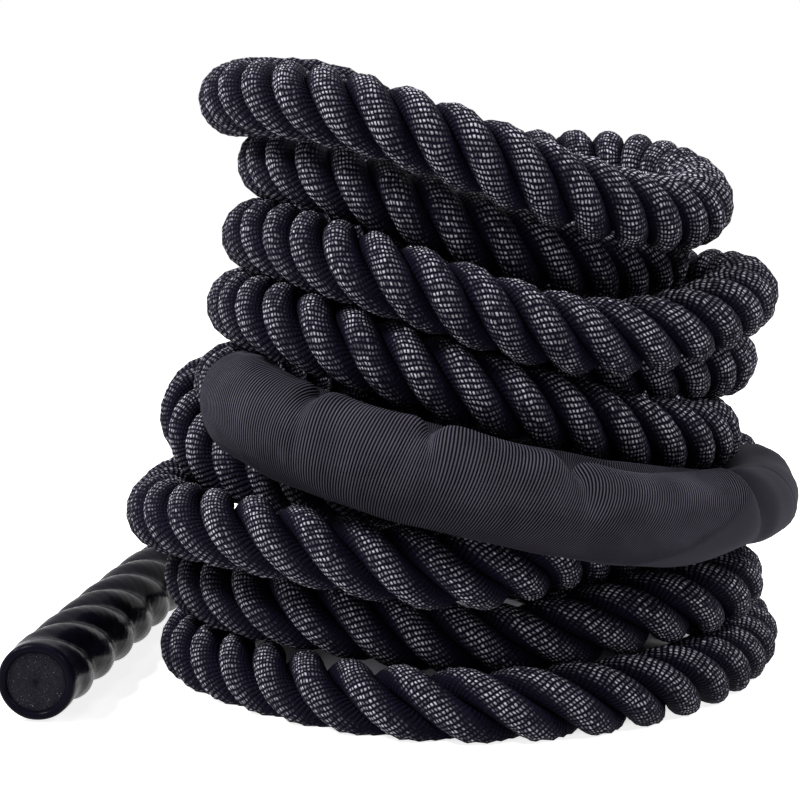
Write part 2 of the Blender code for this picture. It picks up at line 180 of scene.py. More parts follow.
# How ribs gather at a fold: the share, the spread, the side by which it faces higher, and the power
gather_share, gather_spread, gather_lift, gather_power = 0.55, 6.0, 10, 6
# Folds: angle, depth and the side that each faces. Each has two welts: height, angle past the fold,
# spread, and side past the fold's
folds = [(221.0, 0.0048, 8), (195.0, 0.0055, 8), (168.0, 0.0062, 6), (126.5, 0.0070, 26)]
welts = [(0.0012, 4, 3.0, 10), (0.0009, -5, 3.6, 15)]
fold_width, fold_skew, fold_power = 1.9, 0.04, 7
# The cloth's rise over the rope's top and the power of its facing, and the heights of its two waves
top_height, top_power = 0.0010, 4
wide_wave, fine_wave = 0.00045, 0.00035
# How deep the right end is drawn in below, the angle where that stops, and how much less it is at the mouth
drawn_depth, drawn_side, drawn_power = 0.0132, 160, 5
drawn_until, drawn_ease = 131, 6
mouth_share, mouth_angle, mouth_spread = 0.55, 90, 8
# Dips and bumps: height, angle, spread, side and the power of its facing. In order: the right end's outer
# side, the top above it, the flap's seam, the hollow right of the third fold, and the top of the left end
cloth_forms = [(-0.0038, 90, 15, 88, 4), (0.0022, 86, 6.0, 0, 9), (-0.0005, 110, 0.6, 45, 4),
               (-0.0046, 158, 16, 0, 5), (0.0030, 242, 10, 0, 6)]
# The flap's edge: its angle on top, how much further left it is below, and the width of its blend
flap_edge, flap_slant, flap_blend = 126, 14, 3

# Tones as linear colours, the dark one first, then the flap's share of the light one, how rough and glossy
# rope and cloth are, and the pitch of the threads along a rib
# The rope's light tone is a painted sheen on the bead crests.
rope_tones = (0.0044, 0.0036, 0.0105, 1), (0.66, 0.64, 0.74, 1)
# The sleeve's light tone is a painted highlight on the rib crests.
sleeve_tones = (0.0005, 0.0004, 0.0014, 1), (0.094, 0.089, 0.118, 1)
film_tones = (0.0036, 0.0030, 0.0075, 1), (0.0060, 0.0054, 0.0110, 1)
fibre_tones = (0.0075, 0.0070, 0.0130, 1), (0.30, 0.30, 0.33, 1)
# The floor's dark tone is a painted shadow in the ellipse under the pile.
floor_tones = (0.16, 0.16, 0.18, 1), (0.85, 0.85, 0.85, 1)
white = (1, 1, 1, 1)
flap_tone = 0.32
cloth_roughness, cloth_gloss = 0.7, 0.04
film_gloss = 0.02
fibre_roughness, fibre_gloss = 0.85, 0.2
thread_pitch = 0.0011
half_turn = float(np.pi)

# The floor's half width, the shaded ellipse under and behind the pile by its middle and one over its half
# widths, and the share of the world's light that falls on things
floor_reach = 12.0
shade_place = (float(pile_place[0]), -0.002, 0)
shade_scale = (1 / 0.15, 1 / 0.215, 0)
world_light = 0.07


def make_camera():
    """The camera at the photograph's viewing angle, turned left and tilted down, with no shift."""
    data = bpy.data.cameras.new("camera")
    data.sensor_width = 36.0
    data.lens = camera_focal_pixels / frame_pixels * data.sensor_width
    data.clip_end = 100
    camera = bpy.data.objects.new("camera", data)
    camera.location = camera_place
    camera.rotation_euler = (np.pi / 2 - camera_down, 0, camera_left)
    bpy.context.scene.collection.objects.link(camera)
    bpy.context.scene.camera = camera


def spline(knots, values):
    """The natural cubic through the values at the knots, as a function of the knots' scale."""
    knots = np.asarray(knots, float)
    values = np.asarray(values, float)
    count = len(knots)
    width = np.diff(knots)
    rows = np.eye(count)
    bend = np.zeros_like(values)
    inner = np.arange(1, count - 1)
    rows[inner, inner - 1] = width[:-1]
    rows[inner, inner] = 2 * (width[:-1] + width[1:])
    rows[inner, inner + 1] = width[1:]
    slopes = np.diff(values, axis=0) / width[:, None]
    bend[1:-1] = 6 * np.diff(slopes, axis=0)
    second = np.linalg.solve(rows, bend)

    def curve(at):
        k = np.clip(np.searchsorted(knots, at) - 1, 0, count - 2)
        wide = width[k][:, None]
        late = ((at - knots[k]) / width[k])[:, None]
        early = 1 - late
        straight = early * values[k] + late * values[k + 1]
        curved = (early ** 3 - early) * second[k] + (late ** 3 - late) * second[k + 1]
        return straight + wide ** 2 / 6 * curved

    return curve


def unit(way):
    """The vectors scaled to a length of one."""
    return way / np.linalg.norm(way, axis=-1, keepdims=True)


def upright(way):
    """Unit vectors across the unit way and up from it, with across x up = way."""
    up = unit(np.array([0, 0, 1.0]) - way[..., 2:] * way)
    return np.cross(up, way), up


def distance_along(line):
    """How far along the line each of its points lies."""
    return np.concatenate([[0], np.cumsum(np.linalg.norm(np.diff(line, axis=0), axis=1))])


def circle_frame():
    """The sleeve turn's axis, then the ways in its plane that point right and back."""
    axis = unit(np.array([*np.tan(circle_lean), 1.0]))
    right = unit(np.cross([0, 1, 0], axis))
    return axis, right, np.cross(axis, right)


def circle_stations():
    """The rope's true circle inside the sleeve, read at a few azimuths."""
    axis, right, back = circle_frame()
    centre = circle_place + (sleeve_ease - sleeve_hang_space) * axis
    turn = np.radians(np.arange(0, 360, 0.5))[:, None]
    ring = centre + circle_radius * (np.sin(turn) * right + np.cos(turn) * back)
    azimuth = np.degrees(np.arctan2(ring[:, 0], ring[:, 1])) % 360
    order = np.argsort(azimuth)
    ring, azimuth = ring[order], azimuth[order]
    reach = np.interp(circle_azimuths, azimuth, np.hypot(ring[:, 0], ring[:, 1]))
    height = np.interp(circle_azimuths, azimuth, ring[:, 2])
    return list(zip(circle_azimuths, reach / rope_diameter, height / rope_diameter))


def coil_line(step):
    """The coil's middle line: reach and height follow the cubic through all stations by azimuth."""
    rows = []
    for turn, stations in enumerate(turn_stations):
        extra = circle_stations() if turn == sleeve_turn else []
        rows += [(360 * turn + azimuth, reach, height) for azimuth, reach, height in stations + extra]
    rows = np.array(rows)
    around = np.arange(rows[0, 0], rows[-1, 0] + step / 2, step)
    reach, height = spline(rows[:, 0], rows[:, 1:] * rope_diameter)(around).T
    angle = np.radians(around)
    return np.stack([reach * np.sin(angle), reach * np.cos(angle), height], axis=1)


def tail_line(start, start_way, end, end_way, between, step):
    """A tail's middle line, straight for one rope diameter at each end."""
    knots = [start, start + rope_diameter * start_way]
    knots += [np.array(point) * rope_diameter for point in between]
    knots = np.array(knots + [end - rope_diameter * end_way, end])
    along = distance_along(knots)
    return spline(along, knots)(np.arange(0, along[-1], step))


def handle_frames():
    """Where the rope enters each handle, and the way from there to its mouth."""
    low = np.array([*lower_handle, handle_lobe])
    low_way = -np.array([np.sin(lower_heading), np.cos(lower_heading), 0])
    flat = np.cos(upper_slope)
    high_way = np.array([flat * np.cos(upper_heading), flat * np.sin(upper_heading), -np.sin(upper_slope)])
    return (low, low_way), (upper_mouth - handle_length * high_way, high_way)


def resample(line, step):
    """The same line with points at an even step along it."""
    along = distance_along(line)
    even = np.linspace(0, along[-1], round(along[-1] / step) + 1)
    return np.stack([np.interp(even, along, line[:, k]) for k in range(3)], axis=1)


def soften(line, step, spread):
    """A Gaussian mean along an even line, which keeps its two ends where they are."""
    reach = int(4 * spread / step)
    weight = np.exp(-0.5 * (np.arange(-reach, reach + 1) * step / spread) ** 2)
    before = 2 * line[0] - line[reach:0:-1]
    after = 2 * line[-1] - line[-2:-reach - 2:-1]
    full = np.concatenate([before, line, after])
    return np.stack([np.convolve(full[:, k], weight / weight.sum(), "valid") for k in range(3)], axis=1)


def rope_route():
    """The whole rope from inside the lower handle's mouth to inside the upper one's, at an even step."""
    (low, low_way), (high, high_way) = handle_frames()
    coil = coil_line(azimuth_step)
    into = unit(coil[end_chord] - coil[0])
    out = unit(coil[-1] - coil[-1 - end_chord])
    inside = np.arange(handle_length - strand_end, 0, -route_step)[:, None]
    lower = tail_line(low, -low_way, coil[0], into, lower_tail, route_step)
    upper = tail_line(coil[-1], out, high, high_way, upper_tail, route_step)
    line = np.vstack([low + inside * low_way, lower, coil, upper, high + inside[::-1] * high_way])
    return soften(resample(line + pile_place, route_step), route_step, route_smoothing)


def grid_mesh(name, points, uv, close_rows=False):
    """A mesh over a grid of points, closed across the columns, with a UV for each corner of the grid cells.

    points is rows by columns by 3. uv is rows by columns + 1 by 2, so that the seam has both its values.
    With close_rows, each end row is closed by a fan to its middle.
    """
    rows, columns = points.shape[:2]
    row = np.arange(rows - 1)[:, None]
    column = np.arange(columns)[None]
    after = (column + 1) % columns
    quads = np.stack([row * columns + column, row * columns + after,
                      (row + 1) * columns + after, (row + 1) * columns + column], axis=-1).reshape(-1, 4)
    corner = np.stack([uv[:-1, :-1], uv[:-1, 1:], uv[1:, 1:], uv[1:, :-1]], axis=2).reshape(-1, 2)
    places = points.reshape(-1, 3)
    loops = [quads.ravel()]
    sizes = [np.full(len(quads), 4)]
    corners = [corner]
    if close_rows:
        for end, flip in ((0, True), (rows - 1, False)):
            middle = len(places)
            places = np.vstack([places, points[end].mean(axis=0)])
            ring = end * columns + np.arange(columns)
            fan = np.stack([ring, np.roll(ring, -1), np.full(columns, middle)], axis=1)
            loops.append((fan[:, ::-1] if flip else fan).ravel())
            sizes.append(np.full(columns, 3))
            corners.append(np.repeat(uv[end, :columns], 3, axis=0))
    return mesh_from(name, places, np.concatenate(loops), np.concatenate(sizes), np.concatenate(corners))


def mesh_from(name, places, loops, sizes, corners):
    """A smooth mesh from its places, the corners of its faces in order and a UV for each corner."""
    mesh = bpy.data.meshes.new(name)
    mesh.vertices.add(len(places))
    mesh.vertices.foreach_set("co", np.ascontiguousarray(places, dtype=np.float32).ravel())
    mesh.loops.add(len(loops))
    mesh.loops.foreach_set("vertex_index", loops.astype(np.int32))
    mesh.polygons.add(len(sizes))
    starts = np.concatenate([[0], np.cumsum(sizes)[:-1]]).astype(np.int32)
    mesh.polygons.foreach_set("loop_start", starts)
    mesh.polygons.foreach_set("loop_total", sizes.astype(np.int32))
    layer = mesh.uv_layers.new(name="surface")
    layer.data.foreach_set("uv", np.ascontiguousarray(corners, dtype=np.float32).ravel())
    mesh.update(calc_edges=True)
    mesh.validate()
    mesh.shade_smooth()
    return mesh


def joined(name, meshes):
    """One mesh of several, with their UVs kept."""
    places, loops, sizes, corners = [], [], [], []
    first = 0
    for mesh in meshes:
        co = np.empty(len(mesh.vertices) * 3, np.float32)
        mesh.vertices.foreach_get("co", co)
        index = np.empty(len(mesh.loops), np.int32)
        mesh.loops.foreach_get("vertex_index", index)
        total = np.empty(len(mesh.polygons), np.int32)
        mesh.polygons.foreach_get("loop_total", total)
        uv = np.empty(len(mesh.loops) * 2, np.float32)
        mesh.uv_layers[0].data.foreach_get("uv", uv)
        places.append(co.reshape(-1, 3))
        loops.append(index + first)
        sizes.append(total)
        corners.append(uv.reshape(-1, 2))
        first += len(mesh.vertices)
        bpy.data.meshes.remove(mesh)
    return mesh_from(name, np.vstack(places), np.concatenate(loops), np.concatenate(sizes),
                     np.vstack(corners))


def show(mesh, look):
    """An object for the mesh, at the origin, with its material."""
    piece = bpy.data.objects.new(mesh.name, mesh)
    mesh.materials.append(look)
    bpy.context.scene.collection.objects.link(piece)
    return piece


def add_wall(piece, thickness):
    """Gives a surface its wall, to the inside."""
    wall = piece.modifiers.new("wall", "SOLIDIFY")
    wall.thickness = thickness
    wall.offset = -1


def lay_angle(count, step):
    """How far the strands have turned at each step: the running sum of 2 pi times the step over the lay.

    The lay is read from its values along the rope and grows longer inside the handles.
    """
    along = np.arange(count) * step
    total = along[-1]
    from_end = np.minimum(along, total - along)
    inside = np.clip((handle_length + lay_change / 2 - from_end) / lay_change, 0, 1)
    laid = np.interp(along / total, *np.transpose(rope_lay))
    lay = laid + (handle_lay - laid) * inside
    return np.cumsum(2 * np.pi * step / lay)


def press_on_floor(points):
    """Heights near the floor are pressed flat: z becomes half of z + sqrt(z^2 + softness^2)."""
    z = points[..., 2]
    pressed = 0.5 * (z + np.sqrt(z * z + press_softness ** 2))
    points[..., 2] = np.where(z < press_below, pressed, z)
    return points


def eased(share):
    """A share from nought to one, slowed at both ends: 3 s^2 - 2 s^3."""
    return share * share * (3 - 2 * share)


def fullness(line):
    """The rope's thickness as a share: one in the open, less in the sleeve, least in its tight right end.

    It counts as in the sleeve where it lies within a quarter of its diameter of the sleeve's circle.
    """
    axis, right, back = circle_frame()
    away = line - (circle_place + pile_place + (sleeve_ease - sleeve_hang_space) * axis)
    angle = np.degrees(np.arctan2(away @ right, away @ back)) % 360
    near = np.hypot(away @ axis, np.hypot(away @ right, away @ back) - circle_radius) < rope_diameter / 4
    inside = np.clip(np.minimum(angle - covered_from, covered_to - angle) / covered_ease, 0, 1)
    share = covered_share - (covered_share - tight_share) / (1 + np.exp((angle - tight_until) / tight_ease))
    return 1 - (1 - share) * np.where(near, eased(inside), 0)


def strand_mesh(name, line, turned, phase):
    """A strand: its middle winds round the rope's line on a helix, with a round section square to it."""
    across, up = upright(unit(np.gradient(line, axis=0)))
    full = fullness(line)[:, None]
    angle = (turned + phase)[:, None]
    outward = np.cos(angle) * across + np.sin(angle) * up
    middle = line + strand_reach * full * outward
    way = unit(np.gradient(middle, axis=0))
    outward = unit(outward - (outward * way).sum(axis=1, keepdims=True) * way)
    beside = np.cross(way, outward)
    side = np.linspace(-np.pi, np.pi, strand_sides + 1)
    ring = side[:-1][None, :, None]
    radius = strand_radius * full[:, None]
    points = middle[:, None] + radius * (np.cos(ring) * outward[:, None] + np.sin(ring) * beside[:, None])
    uv = np.empty((len(line), strand_sides + 1, 2))
    uv[..., 0] = side * strand_radius
    uv[..., 1] = distance_along(middle)[:, None]
    return grid_mesh(name, press_on_floor(points), uv, close_rows=True)


def make_rope(look):
    """The laid rope: three strands a third of a turn apart along the whole route."""
    line = resample(rope_route(), ring_step)
    step = np.linalg.norm(np.diff(line, axis=0), axis=1).mean()
    turned = lay_angle(len(line), step)
    strands = []
    for number in range(strand_count):
        strands.append(strand_mesh(f"strand_{number}", line, turned, 2 * np.pi * number / strand_count))
    rope = show(joined("laid_rope", strands), look)
    return rope, line, turned


def handle_section(angle, lobe, groove):
    """The film's radius: a rounded lobe over each strand and a crease between, as |cos| to a power."""
    return groove + (lobe - groove) * np.abs(np.cos(strand_count * angle / 2)) ** lobe_power


def strand_turn(turned, run):
    """The strands' angle at a height in a handle, measured the way that the handle's own section turns.

    run is 1 where the rope leaves the handle and -1 where it enters it.
    """
    def turn_at(height):
        past = 2 * np.pi * (handle_length - strand_end - height) / handle_lay
        return np.pi - (turned[0] + past) if run > 0 else turned[-1] - past

    return turn_at


def make_film(name, place, way, turn_at, look):
    """A handle's shrunk film. Its lobes turn with the strands, fade near the mouth and end in a curled rim.

    The rim's height follows the sine of its curl and its radius the cosine. Two crossed sines add a ripple.
    """
    across, up = upright(way)
    straight = np.arange(0, handle_length - rim_curl, film_step)
    curl = np.linspace(0, rim_turn, rim_steps)[1:]
    height = np.concatenate([straight, handle_length - rim_curl + rim_curl * np.sin(curl)])[:, None]
    inward = np.concatenate([np.zeros(len(straight)), 1 - np.cos(curl)])[:, None]
    drawn = inward * (film_round - rim_mouth) / 2
    fade = eased(np.clip((handle_length - height - rim_plain) / film_fade, 0, 1))
    fade[len(straight):] = 0
    angle = np.linspace(0, 2 * np.pi, film_sides + 1)[None]
    lobed = handle_section(angle - turn_at(height), film_lobe, film_groove)
    radius = fade * lobed + (1 - fade) * film_round - drawn
    ripple = film_ripple * np.sin(angle * 5 + height * 240) * np.sin(height * 610 + 2 * angle)
    radius = radius + ripple * (fade * (1 - ripple_at_rim) + ripple_at_rim)
    points = place + height[..., None] * way
    points = points + radius[..., None] * (np.cos(angle)[..., None] * across + np.sin(angle)[..., None] * up)
    uv = np.empty((*radius.shape, 2))
    uv[..., 0] = angle * film_round
    uv[..., 1] = height
    film = show(grid_mesh(name, press_on_floor(points[:, :-1]), uv), look)
    add_wall(film, film_wall)
    return film


def make_fibre_face(name, place, way, look):
    """The rope's cut end behind the rim: a disc that swells over each strand and is rough with cut fibres.

    It falls off with the eighth power of its share of the radius, swells by the cosine of three times the
    angle, and each of its points has a random height of its own.
    """
    across, up = upright(way)
    share = np.linspace(face_middle, 1, face_rings)[:, None]
    angle = np.linspace(0, 2 * np.pi, face_sides + 1)[None]
    radius = share * (rim_mouth + face_overlap)
    noise = np.random.default_rng(face_seed).normal(0, 1, (face_rings, face_sides))
    swell = face_swell * np.cos(strand_count * angle) * share * (1 - share)
    height = handle_length - face_depth - face_round * share ** 8 + swell
    height = height[:, :-1] + face_rough * noise
    flat = radius[..., None] * (np.cos(angle)[..., None] * across + np.sin(angle)[..., None] * up)
    points = place + flat[:, :-1] + height[..., None] * way
    uv = np.stack([radius * np.cos(angle), radius * np.sin(angle)], axis=-1)
    return show(grid_mesh(name, points[::-1], uv[::-1], close_rows=True), look)


def gauss(value, middle, spread):
    """A bell of height one round the middle."""
    return np.exp(-((value - middle) / spread) ** 2)


def facing(side, wanted, power):
    """One where the side of the section faces the wanted angle, falling off smoothly to the far side."""
    return np.clip(np.cos((side - np.radians(wanted)) / 2), 0, 1) ** power


def sleeve_shape(angle, side):
    """The sleeve's radius at each angle round its circle and each side of its section, in metres.

    A tube that rests on the rope's top, pinched in at the folds with a soft welt on both their sides, waved
    by two products of slanting sines, and drawn in under its right end. The dips and bumps are each a bell
    along the sleeve times a facing across it.
    """
    radius = sleeve_radius + top_height * facing(side, 0, top_power) + np.zeros_like(angle + side)
    skewed = angle + fold_skew * np.degrees(side)
    for fold, depth, face in folds:
        pinch = gauss(skewed, fold + fold_skew * face, fold_width)
        radius = radius - depth * pinch * facing(side, face, fold_power)
        for height, past, spread, lower in welts:
            welt = gauss(angle, fold + past, spread)
            radius = radius + height * welt * facing(side, face + lower, fold_power)
    turned = np.radians(angle)
    slant = turned * 9 + side * 1.6
    radius = radius + wide_wave * np.sin(slant) * np.sin(turned * 3.1 + 1.0)
    radius = radius + fine_wave * np.sin(2.3 * slant + 1.7 * np.sin(side)) * np.sin(turned * 5 - side)
    right = 1 / (1 + np.exp((angle - drawn_until) / drawn_ease))
    open_mouth = 1 - mouth_share * gauss(angle, mouth_angle, mouth_spread)
    radius = radius - drawn_depth * right * open_mouth * facing(side, drawn_side, drawn_power)
    for height, middle, spread, face, power in cloth_forms:
        radius = radius + height * gauss(angle, middle, spread) * facing(side, face, power)
    return radius


def rib_angle(share, side):
    """The angle round the circle that a rib holds on each side of the section.

    The ribs crowd to the right by a cubic of their share, run from the right end's slanting cut to the left
    end's, and gather at the folds. Their lean from top to underside fades out over the first quarter and the
    last sixth.
    """
    top = (1 + np.cos(side)) / 2
    share = share + rib_crowding * (share ** 3 - share)
    last = sleeve_to + left_slant * np.cos(side) - left_twist * np.sin(side)
    first = sleeve_from + right_slant * (1 - top) ** right_power
    angle = first + share * (last - first)
    right_fade, left_fade = np.clip(share * 4, 0, 1), np.clip((1 - share) * 6, 0, 1)
    angle = angle + (rib_lean - 2 * rib_lean * top) * right_fade * left_fade
    for fold, _, face in folds:
        near = gauss(angle, fold, gather_spread)
        angle = angle - gather_share * (angle - fold) * near * facing(side, face - gather_lift, gather_power)
    return angle


def plainness(angle, side):
    """One on the smooth flap at the sleeve's right end, nought on the ribs, by the edge between the two."""
    edge = flap_edge + flap_slant * (1 - np.cos(side))
    return np.clip((edge - angle) / flap_blend + 0.5, 0, 1)


def make_sleeve(look):
    """The ribbed sleeve: a section carried round the circle, with folds, cut ends and ribs as a cosine."""
    axis, right, back = circle_frame()
    rings = rib_count * rib_rings
    share = np.linspace(0, 1, rings + 1)[:, None]
    side = np.linspace(0, 2 * np.pi, sleeve_sides + 1)[None]
    angle = rib_angle(share, side)
    plain = plainness(angle, side)
    ribbed = np.clip((1 - share) * rib_count, 0, 1) * (1 - plain)
    rib = rib_height * (np.cos(2 * np.pi * rib_count * share) - 1) / 2
    radius = sleeve_shape(angle, side) + rib * ribbed
    turned = np.radians(angle)
    outward = np.sin(turned)[..., None] * right + np.cos(turned)[..., None] * back
    from_axis = circle_radius + radius * np.sin(side)
    lift = radius * np.cos(side)
    points = circle_place + pile_place + from_axis[..., None] * outward + lift[..., None] * axis
    uv = np.empty((rings + 1, sleeve_sides + 1, 2))
    uv[..., 0] = side * sleeve_radius
    uv[..., 1] = share * rib_count
    sleeve = show(grid_mesh("sleeve_cloth", points[:, :-1], uv), look)
    sleeve.data.attributes.new("plain", "FLOAT", "POINT").data.foreach_set("value", plain[:, :-1].ravel())
    add_wall(sleeve, sleeve_wall)
    return sleeve


class Nodes:
    """Builds a node tree. add makes a node, join sets or links an input, and fill does so for a node's
    inputs in turn. The others each add a node with its inputs and give its output."""

    def __init__(self, tree):
        self.tree = tree

    def add(self, kind, **values):
        made = self.tree.nodes.new(kind)
        for name, value in values.items():
            setattr(made, name, value)
        return made

    def join(self, value, socket):
        if isinstance(value, (int, float, tuple)):
            socket.default_value = value
        else:
            self.tree.links.new(value, socket)

    def fill(self, made, *values):
        for value, socket in zip(values, made.inputs):
            self.join(value, socket)
        return made.outputs

    def math(self, operation, *values):
        return self.fill(self.add("ShaderNodeMath", operation=operation), *values)[0]

    def vector(self, operation, *values):
        made = self.add("ShaderNodeVectorMath", operation=operation)
        gives_number = operation in ("DOT_PRODUCT", "DISTANCE", "LENGTH")
        return self.fill(made, *values)["Value" if gives_number else "Vector"]

    def split(self, vector):
        return self.fill(self.add("ShaderNodeSeparateXYZ"), vector)

    def spread(self, value, low, high, new_low=0.0, new_high=1.0):
        made = self.add("ShaderNodeMapRange", interpolation_type="SMOOTHSTEP")
        return self.fill(made, value, low, high, new_low, new_high)[0]

    def mix(self, share, first, second):
        made = self.add("ShaderNodeMix", data_type="RGBA")
        self.join(share, made.inputs["Factor"])
        self.join(first, made.inputs["A"])
        self.join(second, made.inputs["B"])
        return made.outputs["Result"]

    def noise(self, vector, scale, detail=2.0, output="Fac"):
        made = self.add("ShaderNodeTexNoise")
        self.join(vector, made.inputs["Vector"])
        self.join(scale, made.inputs["Scale"])
        self.join(detail, made.inputs["Detail"])
        return made.outputs[output]

    def bump(self, height, distance, strength):
        made = self.add("ShaderNodeBump")
        self.join(height, made.inputs["Height"])
        self.join(distance, made.inputs["Distance"])
        self.join(strength, made.inputs["Strength"])
        return made.outputs[0]


def yarn_group():
    """Beaded yarns that run aslant round a strand.

    The UV is turned by the slant: rows of the yarn pitch stand along the one axis, and beads of the bead
    pitch along the other. The beads of each row start a stagger further on than those of the row before. A
    yarn's crest and a bead's are each a sine, and each bead has its own random number.
    """
    tree = bpy.data.node_groups.new("beaded_yarns", "ShaderNodeTree")
    for name, direction, kind in (
            ("Surface", "INPUT", "Vector"), ("Yarn Way", "INPUT", "Vector"), ("Bead Way", "INPUT", "Vector"),
            ("Bead Lean", "INPUT", "Float"), ("Yarn", "OUTPUT", "Float"), ("Bead", "OUTPUT", "Float"),
            ("Bead Chance", "OUTPUT", "Float")):
        tree.interface.new_socket(name, in_out=direction, socket_type="NodeSocket" + kind)
    n = Nodes(tree)
    surface, yarn_way, bead_way, bead_lean = n.add("NodeGroupInput").outputs[:4]
    result = n.add("NodeGroupOutput")
    rows = n.vector("DOT_PRODUCT", surface, yarn_way)
    row = n.math("FLOOR", rows)
    in_row = n.math("FRACT", rows)
    shift = n.math("MULTIPLY_ADD", in_row, bead_lean, n.math("MULTIPLY", row, bead_stagger))
    beads = n.math("ADD", n.vector("DOT_PRODUCT", surface, bead_way), shift)
    n.join(n.math("SINE", n.math("MULTIPLY", in_row, half_turn)), result.inputs["Yarn"])
    n.join(n.math("SINE", n.math("MULTIPLY", n.math("FRACT", beads), half_turn)), result.inputs["Bead"])
    pair = n.fill(n.add("ShaderNodeCombineXYZ"), n.math("FLOOR", beads), row)[0]
    chance = n.add("ShaderNodeTexWhiteNoise", noise_dimensions="2D")
    n.join(pair, chance.inputs["Vector"])
    n.join(chance.outputs["Value"], result.inputs["Bead Chance"])
    return tree


def blank_nodes(owner):
    """The emptied node tree of a material or a world."""
    owner.use_nodes = True
    owner.node_tree.nodes.clear()
    return Nodes(owner.node_tree)


def new_material(name):
    """A material, its nodes and its one Principled shader."""
    made = bpy.data.materials.new(name)
    n = blank_nodes(made)
    shader = n.add("ShaderNodeBsdfPrincipled")
    n.join(shader.outputs[0], n.add("ShaderNodeOutputMaterial").inputs["Surface"])
    return made, n, shader


def surface_vector(n):
    """The place on a piece's surface by its UV, in metres, but for the sleeve's second axis, in ribs."""
    return n.add("ShaderNodeUVMap", uv_map="surface").outputs[0]


def object_vector(n):
    """The place in a piece's own space, in metres."""
    return n.add("ShaderNodeTexCoord").outputs["Object"]


def rope_material():
    """Black polyester yarns: near-black between them, a pale painted sheen on each bead, uneven from bead to
    bead.

    The painted sheen is the product of the yarn's crest and the bead's. As painted shade it fades to both
    sides of the strand's outermost line, into the grooves, and is weaker on one flank, the one turned from
    the light. Noise moves the yarns a little out of their rows.
    """
    made, n, shader = new_material("yarn_rope")
    group = n.add("ShaderNodeGroup", node_tree=yarn_group())
    wander = n.noise(object_vector(n), scale=90.0, output="Color")
    drift = n.vector("MULTIPLY_ADD", wander, (0.0030, 0.0030, 0), surface_vector(n))
    cosine, sine = float(np.cos(yarn_slant)), float(np.sin(yarn_slant))
    yarn_way = (-sine / yarn_pitch, cosine / yarn_pitch, 0)
    bead_way = (cosine / bead_pitch, sine / bead_pitch, 0)
    yarn, bead, chance = n.fill(group, drift, yarn_way, bead_way, -sine / cosine * yarn_pitch / bead_pitch)
    half_round = np.pi * strand_radius
    around = n.split(surface_vector(n))[0]
    # Painted shade: the sheen fades into the grooves on both sides of the strand's outermost line.
    outermost = n.spread(n.math("ABSOLUTE", around), 0.40 * half_round, 0.15 * half_round)
    # Painted light and shade: the flank at negative around, turned to the light, keeps its sheen and the
    # other keeps a fifth.
    lit_flank = n.spread(around, -0.10 * half_round, 0.30 * half_round, 1.0, 0.2)
    # The pale tone on the bead crests is a painted sheen.
    crest = n.math("MULTIPLY", n.spread(yarn, 0.45, 1.0), n.spread(bead, 0.40, 1.0))
    crest = n.math("MULTIPLY", n.math("MULTIPLY", crest, outermost), lit_flank)
    cloud = n.noise(object_vector(n), scale=38.0)
    bright = n.math("MULTIPLY", crest, n.spread(n.math("ADD", chance, cloud), 0.4, 1.5, 0.08, 1.0))
    n.join(n.mix(bright, *rope_tones), shader.inputs["Base Color"])
    n.join(cloth_roughness, shader.inputs["Roughness"])
    n.join(cloth_gloss, shader.inputs["Specular IOR Level"])
    height = n.math("MULTIPLY", yarn, n.math("MULTIPLY_ADD", bead, 0.4, 0.6))
    n.join(n.bump(height, distance=0.0010, strength=0.9), shader.inputs["Normal"])
    return made


def sleeve_material():
    """Ribbed nylon: dark between the ribs, grey on them as a painted highlight, with fine threads along each
    rib.

    A painted shade darkens it from its outer side to its underside. The flap has one grey tone and no ribs,
    by the mesh's attribute "plain".
    """
    made, n, shader = new_material("ribbed_nylon")
    around, along = n.split(surface_vector(n))[:2]
    rib = n.math("MULTIPLY_ADD", n.math("COSINE", n.math("MULTIPLY", along, 2 * half_turn)), 0.5, 0.5)
    thread = n.math("SINE", n.math("MULTIPLY", around, 2 * half_turn / thread_pitch))
    plain = n.add("ShaderNodeAttribute", attribute_name="plain").outputs["Fac"]
    ribbed = n.math("SUBTRACT", 1.0, plain)
    cloud = n.noise(object_vector(n), scale=55.0)
    # The grey on the rib crests is a painted highlight.
    crest = n.math("MULTIPLY", n.spread(rib, 0.62, 1.0), n.spread(cloud, 0.2, 0.9, 0.6, 1.0))
    # Painted shade: darker from the outer side to the underside.
    underside_shade = n.spread(around, 1.3 * sleeve_radius, 2.7 * sleeve_radius, 1.0, 0.45)
    crest = n.math("MULTIPLY", n.math("MULTIPLY", crest, underside_shade), ribbed)
    crest = n.math("ADD", crest, n.math("MULTIPLY", plain, flap_tone))
    n.join(n.mix(crest, *sleeve_tones), shader.inputs["Base Color"])
    n.join(cloth_roughness, shader.inputs["Roughness"])
    n.join(cloth_gloss, shader.inputs["Specular IOR Level"])
    height = n.math("MULTIPLY_ADD", thread, 0.12, n.math("MULTIPLY", rib, ribbed))
    n.join(n.bump(height, distance=0.0003, strength=0.6), shader.inputs["Normal"])
    return made


def film_material():
    """Glossy black shrunk tube, a little wavy, with its gloss broken by fine scuffs."""
    made, n, shader = new_material("shrunk_film")
    place = object_vector(n)
    cloud = n.noise(place, scale=60.0, detail=3.0)
    scuff = n.noise(place, scale=420.0, detail=4.0)
    n.join(n.mix(cloud, *film_tones), shader.inputs["Base Color"])
    n.join(n.spread(scuff, 0.3, 0.8, 0.19, 0.30), shader.inputs["Roughness"])
    n.join(film_gloss, shader.inputs["Specular IOR Level"])
    height = n.math("ADD", cloud, n.math("MULTIPLY", scuff, 0.1))
    n.join(n.bump(height, distance=0.0006, strength=0.35), shader.inputs["Normal"])
    return made


